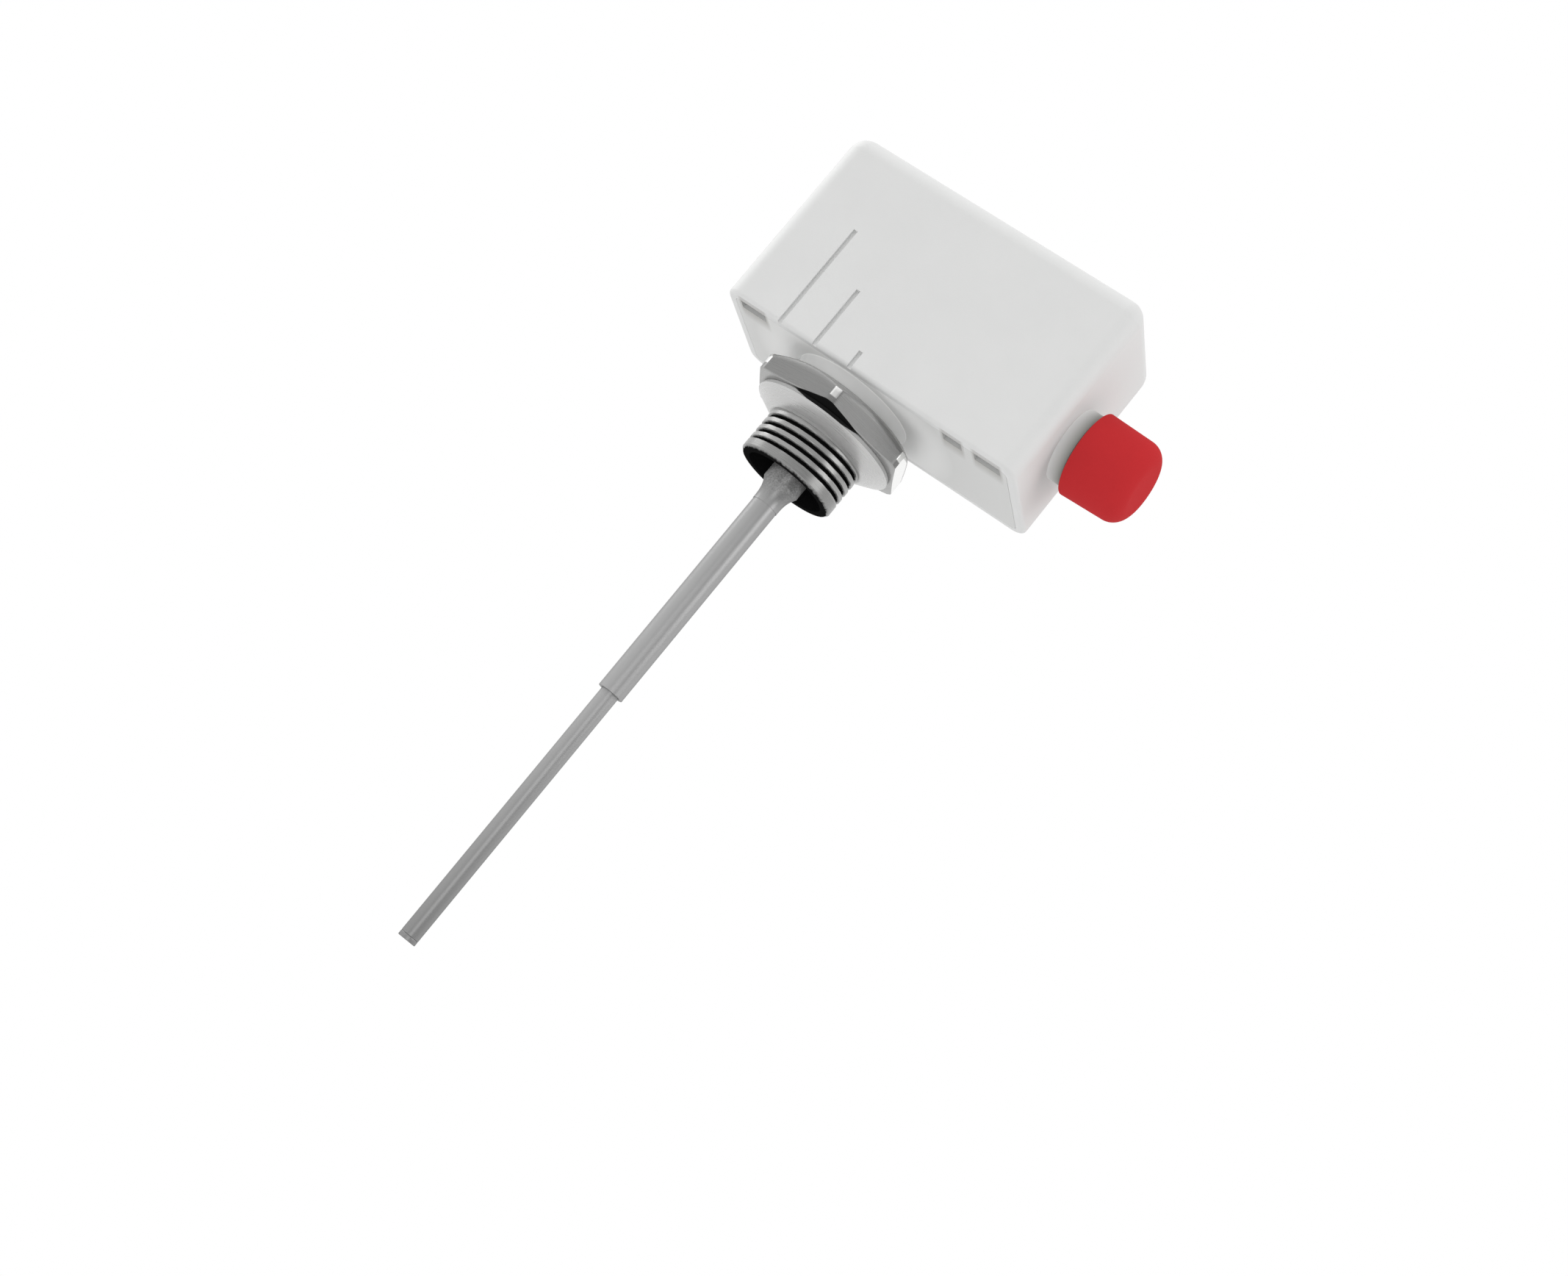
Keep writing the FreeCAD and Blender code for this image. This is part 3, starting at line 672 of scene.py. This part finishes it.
def black_grooves(tree, place, radius, height):
    """Black painted shade in the thread's grooves and in the hollow end, with a ragged edge."""
    ragged = spread(tree, noise(tree, place, RAGGED_SIZE), -RAGGED_REACH, RAGGED_REACH)
    edge = calculate(tree, "ADD", radius, ragged)
    deep = falling(tree, edge, THREAD_RADIUS - GROOVE_BLACK, THREAD_RADIUS - GROOVE_SHADE_END)
    below = falling(tree, height, GROOVE_TOP, GROOVE_TOP + GROOVE_TOP_FADE)
    return product(tree, deep, below)


def black_underside(tree, reach, height):
    """Black painted shade on the hexagon's underside, below its two dark corners."""
    level = rising(tree, steepness(tree), *FLOOR_LEAN)
    over_rim = rising(tree, height, COLLAR_RIM + TINT_EDGE, COLLAR_RIM + 2 * TINT_EDGE)
    under_hexagon = falling(tree, height, HEX_LEVEL + TINT_EDGE / 2, HEX_LEVEL + TINT_EDGE)
    darkened = product(tree, level, rising(tree, reach, DARK_START, DARK_TAPER))
    return product(tree, darkened, product(tree, over_rim, under_hexagon))


def black_corners(tree, reach, height):
    """Black painted shade that climbs a little way up the two dark corners."""
    highest = HEX_LEVEL + HEX_SEAT_CHAMFER + DARK_RISE
    limit = spread(tree, reach, HEX_LEVEL, highest, DARK_TAPER, HEX_CORNER)
    return under_limit(tree, height, limit, DARK_BLEND)


def fitting_finish(tree, shader, place, turned):
    """The hexagon keeps the bar's dark skin, with painted highlights in places; hollows and two corners get
    black painted shade.
    """
    radius, height = about_axis(tree, place)
    outside = rising(tree, radius, HEX_HALF_WIDTH - 2 * TINT_EDGE, HEX_HALF_WIDTH - TINT_EDGE / 2)
    wall = product(tree, outside, falling(tree, steepness(tree), *WALL_LEAN))
    # Painted highlights on the hexagon's walls: bright colour, full metal and lower roughness
    highlight = product(tree, wall, painted_highlights(tree, radius, height))
    skinned = blend_colours(tree, wall, turned_faces(tree, radius, height, turned), SKIN_COLOUR)
    highlighted = blend_colours(tree, highlight, skinned, HIGHLIGHT_COLOUR)

    # Black painted shade: in the thread's grooves and hollow end, and under the two dark corners
    reach = along_turn(tree, place, DARK_CORNER)
    hollow = either(tree, black_grooves(tree, place, radius, height), black_underside(tree, reach, height))
    painted_shade = either(tree, hollow, product(tree, outside, black_corners(tree, reach, height)))

    metal = product(tree, by_mask(tree, highlight, MATT_STEEL, 1.0), by_mask(tree, painted_shade, 1.0, 0.0))
    streaked = shader.inputs["Roughness"].links[0].from_socket
    feed(tree, shader.inputs["Metallic"], metal)
    feed(tree, shader.inputs["Specular IOR Level"], by_mask(tree, painted_shade, PLAIN_SPECULAR, 0.0))
    feed(tree, shader.inputs["Roughness"], product(tree, streaked, by_mask(tree, highlight, 1.0, HIGHLIGHT_GLOSS)))
    return blend_colours(tree, painted_shade, highlighted, SHADE_BLACK_COLOUR)


def stem_finish(tree, shader, place, drawn):
    """The brazed bell is dull and speckled, and the thin tip grows duller towards its end."""
    feed(tree, shader.inputs["Specular IOR Level"], STEM_SPECULAR)
    feed(tree, shader.inputs["Specular Tint"], STEM_RIM_COLOUR + OPAQUE)
    height = split(tree, place)["Z"]
    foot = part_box("stem_ferrule")[0][2]
    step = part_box("stem_tube")[0][2]
    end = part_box("tip_tube")[0][2]
    speckle = spread(tree, noise(tree, place, SPECKLE_SIZE), SPECKLE_LEAST, 1.0)
    bell = product(tree, rising(tree, height, foot, foot + FERRULE_CONE), speckle)
    tip = spread(tree, height, TIP_SHARE, 0.0, end, step)
    dulled = blend_colours(tree, tip, drawn, BELL_COLOUR)
    return blend_colours(tree, bell, dulled, BELL_COLOUR)


# Circuit board

BOARD_COLOUR = (0.03, 0.19, 0.08)
BOARD_ROUGHNESS = 0.35
COPPER_MARGIN = 0.8 * MM
COPPER_EDGE = 0.08 * MM
COPPER_RELIEF = 0.3
COPPER_HEIGHT = 0.03 * MM
TRACK_WIDTH = 1.0 * MM
TRACK_GAP = 0.5 * MM
WEAVE_SIZE = 0.5 * MM
WEAVE_DETAIL = 2.0
WEAVE_TONE = 0.08
BARE_SHADE = 0.55
SOLDER_RADIUS = 0.95 * MM
SOLDER_COLOUR = (0.62, 0.62, 0.6)
RESIN_COLOUR = (0.42, 0.38, 0.2)
RESIN_LEAN = (0.4, 0.7)


def board_holes():
    """Centres of the soldered holes: the terminal's two poles, and the sensor's two wires."""
    poles = []
    for node in ("terminal_screw_1", "terminal_screw_2"):
        low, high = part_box(node)
        poles.append(((low[0] + high[0]) / 2, (low[1] + high[1]) / 2))
    low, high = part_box("sensor_leads")
    reach = high[0] - (high[1] - low[1]) / 2
    return poles, [(-reach, 0.0), (reach, 0.0)]


def hole_distance(tree, level, hole):
    """Distance on the board from a hole's centre."""
    return calculate_vector(tree, "DISTANCE", "Value", level, hole + (0.0,))


def leg_distance(tree, level, start, stop):
    """Distance on the board from the straight leg between two points."""
    first = Vector(start + (0.0,))
    leg = Vector(stop + (0.0,)) - first
    from_start = calculate_vector(tree, "SUBTRACT", "Vector", level, first)
    along = calculate_vector(tree, "DOT_PRODUCT", "Value", from_start, leg / leg.length_squared)
    share = add_node(tree, "ShaderNodeClamp", inputs={"Value": along}).outputs["Result"]
    foot = add_node(tree, "ShaderNodeVectorMath", {"operation": "SCALE"}, {0: leg, "Scale": share})
    return calculate_vector(tree, "DISTANCE", "Value", from_start, foot.outputs["Vector"])


def copper_field(tree, place):
    """A mask of the board's middle, as far out as its copper goes."""
    parts = split(tree, place)
    low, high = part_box("circuit_board")
    within = []
    for axis, name in enumerate(("X", "Y")):
        reach = off_middle(tree, parts[name], (low[axis] + high[axis]) / 2)
        limit = (high[axis] - low[axis]) / 2 - COPPER_MARGIN
        within.append(falling(tree, reach, limit, limit + COPPER_EDGE))
    return product(tree, *within)


def board_laminate(slot, colour, roughness):
    """Circuit board: solder mask over a copper field and two tracks, tinned rings, bare resin edges."""
    material, tree, shader, place = new_material(slot, roughness)
    level = level_place(tree, place)
    poles, wires = board_holes()
    legs = []
    for pole, wire in zip(poles, wires):
        bend = (wire[0], pole[1])
        legs += [(wire, bend), (bend, pole)]
    to_track = nearest_of(tree, [leg_distance(tree, level, start, stop) for start, stop in legs])
    to_hole = nearest_of(tree, [hole_distance(tree, level, hole) for hole in poles + wires])
    half_track = TRACK_WIDTH / 2
    gap_end = half_track + TRACK_GAP
    track = falling(tree, to_track, half_track, half_track + COPPER_EDGE)
    clear = rising(tree, to_track, gap_end, gap_end + COPPER_EDGE)
    copper = either(tree, track, product(tree, copper_field(tree, place), clear))

    weave = noise(tree, place, WEAVE_SIZE, detail=WEAVE_DETAIL)
    mask = blend_colours(tree, weave, shade(colour, 1 - WEAVE_TONE), shade(colour, 1 + WEAVE_TONE))
    covered = blend_colours(tree, copper, shade(colour, BARE_SHADE), mask)
    ring = falling(tree, to_hole, SOLDER_RADIUS, SOLDER_RADIUS + COPPER_EDGE)
    ringed = blend_colours(tree, ring, covered, SOLDER_COLOUR)
    side = falling(tree, steepness(tree), *RESIN_LEAN)
    feed(tree, shader.inputs["Base Color"], blend_colours(tree, side, ringed, RESIN_COLOUR))
    add_bump(tree, shader, copper, COPPER_RELIEF, COPPER_HEIGHT)
    return material


# Materials by slot, and the CAD nodes

def make_materials():
    metals = {
        "fitting_steel": dict(colour=(0.36, 0.36, 0.355), roughness=0.3, streak=ROUND_STEM,
                              finish=fitting_finish),
        "stem_steel": dict(colour=(0.4, 0.4, 0.4), roughness=0.34, streak=ALONG_STEM, tone=0.03, relief=0.01,
                           polish=0.01, metallic=MATT_STEEL, finish=stem_finish),
        "plated_steel": dict(colour=(0.6, 0.6, 0.58), roughness=0.32),
        "wire_metal": dict(colour=(0.66, 0.62, 0.55), roughness=0.3, streak=ALONG_STEM),
    }
    mouldings = {
        "housing_plastic": dict(colour=(0.71, 0.713, 0.708), roughness=0.55, tint=slot_shade_tint),
        # The base plate's colour is painted a little darker than the hood's, as painted shade on its downward
        # face
        "base_plastic": dict(colour=(0.635, 0.638, 0.63), roughness=0.55, tint=neck_light_tint),
        "cap_red": dict(colour=(0.53, 0.03, 0.034), roughness=0.75, tone=0.06, specular=0.03),
        # The entry's dark grey is painted shade of the cap on the flange and stub
        "entry_plastic": dict(colour=(0.19, 0.205, 0.185), roughness=0.5, tint=entry_shade_tint),
        "terminal_plastic": dict(colour=(0.05, 0.27, 0.13), roughness=0.45),
        "gasket_silicone": dict(colour=(0.6, 0.605, 0.6), roughness=0.7),
        # The ring's black is painted shade; its tint greys it with dust away from the two dark corners
        "seal_rubber": dict(colour=(0.012, 0.012, 0.012), roughness=0.8, relief=0.2, specular=0.2,
                            tint=seal_tint),
        "plug_silicone": dict(colour=(0.55, 0.52, 0.48), roughness=0.65),
        "element_white": dict(colour=(0.82, 0.81, 0.77), roughness=0.4),
    }
    found = {slot: worked_metal(slot, **look) for slot, look in metals.items()}
    found.update({slot: moulded(slot, **look) for slot, look in mouldings.items()})
    found["board_laminate"] = board_laminate("board_laminate", BOARD_COLOUR, BOARD_ROUGHNESS)
    return found


def paint_nodes():
    for part in frame["record"]["subparts"]:
        node = frame["nodes"][part["node"]]
        for holder in node.material_slots:
            holder.material = materials[part["material_slot"]]


def round_edges():
    """Make the CAD nodes' flat faces whole, then break their sharp edges as moulding and machining do."""
    for name, node in frame["nodes"].items():
        if name in PLAIN_NODES:
            continue
        weld = node.modifiers.new("weld", "WELD")
        weld.merge_threshold = WELD_GAP
        planar = node.modifiers.new("planar", "DECIMATE")
        planar.decimate_type = "DISSOLVE"
        planar.angle_limit = FLAT_ANGLE
        bevel = node.modifiers.new("bevel", "BEVEL")
        bevel.limit_method = "ANGLE"
        bevel.angle_limit = EDGE_ANGLE
        bevel.width = SHELL_EDGE if name in SHELL_NODES else SMALL_EDGE
        bevel.segments = EDGE_SEGMENTS
        node.modifiers.new("normals", "WEIGHTED_NORMAL")


# Studio

# Camera
CAMERA_PLACE = Vector((0.17593, -0.43199, -0.11859))
CAMERA_AIM = Vector((0.015365, 0.011879, -0.031402))
CAMERA_ROLL = math.radians(39.161)
SENSOR_WIDTH = 36.0
LENS = 58.198

# World, and the side to which it grows dim
WORLD_COLOUR = (1.0, 1.0, 1.0)
DIM_SIDE = Vector((0.72, -0.64, -0.26))
DIM_START = 0.15
DIM_STOP = 0.95
DIM_SHARE = 0.6

# Lights, in metres and watts
SEAT = Vector((0.0, 0.0, 0.0))
HOOD_FOOT = Vector((0.0, 0.0, 0.02))
LIGHTS = {
    "key": dict(place=Vector((-0.5, -0.4, 0.9)), aim=HOOD_FOOT, size=0.7, power=1.0),
    "fill": dict(place=Vector((0.95, -0.2, 0.45)), aim=HOOD_FOOT, size=0.6, power=2.8),
    "front": dict(place=Vector((0.26, -0.64, -0.14)), aim=SEAT, size=0.4, power=0.65),
    "left": dict(place=Vector((-0.8, 0.0, 0.45)), aim=HOOD_FOOT, size=0.5, power=2.4),
}

# Paper floor
FLOOR_LEVEL = -0.42
FLOOR_RADIUS = 0.75
FLOOR_COLUMNS = 96
FLOOR_COLOUR = (0.8, 0.8, 0.8)
FLOOR_ROUGHNESS = 0.8
FLOOR_GRAIN = 1.0 * MM


def make_camera():
    camera = bpy.data.objects.new("camera", bpy.data.cameras.new("camera"))
    bpy.context.scene.collection.objects.link(camera)
    camera.data.sensor_width = SENSOR_WIDTH
    camera.data.lens = LENS
    camera.location = CAMERA_PLACE
    sight = (CAMERA_AIM - CAMERA_PLACE).to_track_quat("-Z", "Y")
    camera.rotation_mode = "QUATERNION"
    camera.rotation_quaternion = sight @ Quaternion((0, 0, 1), CAMERA_ROLL)
    bpy.context.scene.camera = camera


def make_world():
    """A white studio that falls off towards one side, so that metal has something to reflect."""
    world = bpy.data.worlds.new("studio")
    bpy.context.scene.world = world
    world.use_nodes = True
    tree = world.node_tree
    background = tree.nodes["Background"]
    direction = add_node(tree, "ShaderNodeTexCoord").outputs["Generated"]
    facing = calculate_vector(tree, "DOT_PRODUCT", "Value", direction, DIM_SIDE.normalized())
    strength = add_node(tree, "ShaderNodeMapRange", {"interpolation_type": "SMOOTHSTEP"}, {
        "Value": facing, "From Min": DIM_START, "From Max": DIM_STOP,
        "To Min": 1.0, "To Max": 1.0 - DIM_SHARE})
    feed(tree, background.inputs["Color"], WORLD_COLOUR + OPAQUE)
    feed(tree, background.inputs["Strength"], strength.outputs["Result"])


def make_light(name, place, aim, size, power):
    light = bpy.data.lights.new(name, "AREA")
    light.size = size
    light.energy = power
    lamp = bpy.data.objects.new(name, light)
    bpy.context.scene.collection.objects.link(lamp)
    lamp.location = place
    lamp.rotation_mode = "QUATERNION"
    lamp.rotation_quaternion = (aim - place).to_track_quat("-Z", "Y")


def make_floor():
    turns = [FULL_TURN * index / FLOOR_COLUMNS for index in range(FLOOR_COLUMNS)]
    points = [about_stem(FLOOR_RADIUS, turn, FLOOR_LEVEL) for turn in turns]
    mesh = bpy.data.meshes.new("floor")
    mesh.from_pydata(points, [], [tuple(range(FLOOR_COLUMNS))])
    floor = bpy.data.objects.new("floor", mesh)
    bpy.context.scene.collection.objects.link(floor)
    mesh.materials.append(moulded("floor_paper", FLOOR_COLOUR, FLOOR_ROUGHNESS, grain=FLOOR_GRAIN))


materials = make_materials()
paint_nodes()
round_edges()
make_fitting()
make_ferrule()
make_entry_stub()
make_camera()
make_world()
for light_name, settings in LIGHTS.items():
    make_light(light_name, **settings)
make_floor()
bpy.context.scene.view_settings.view_transform = "Standard"
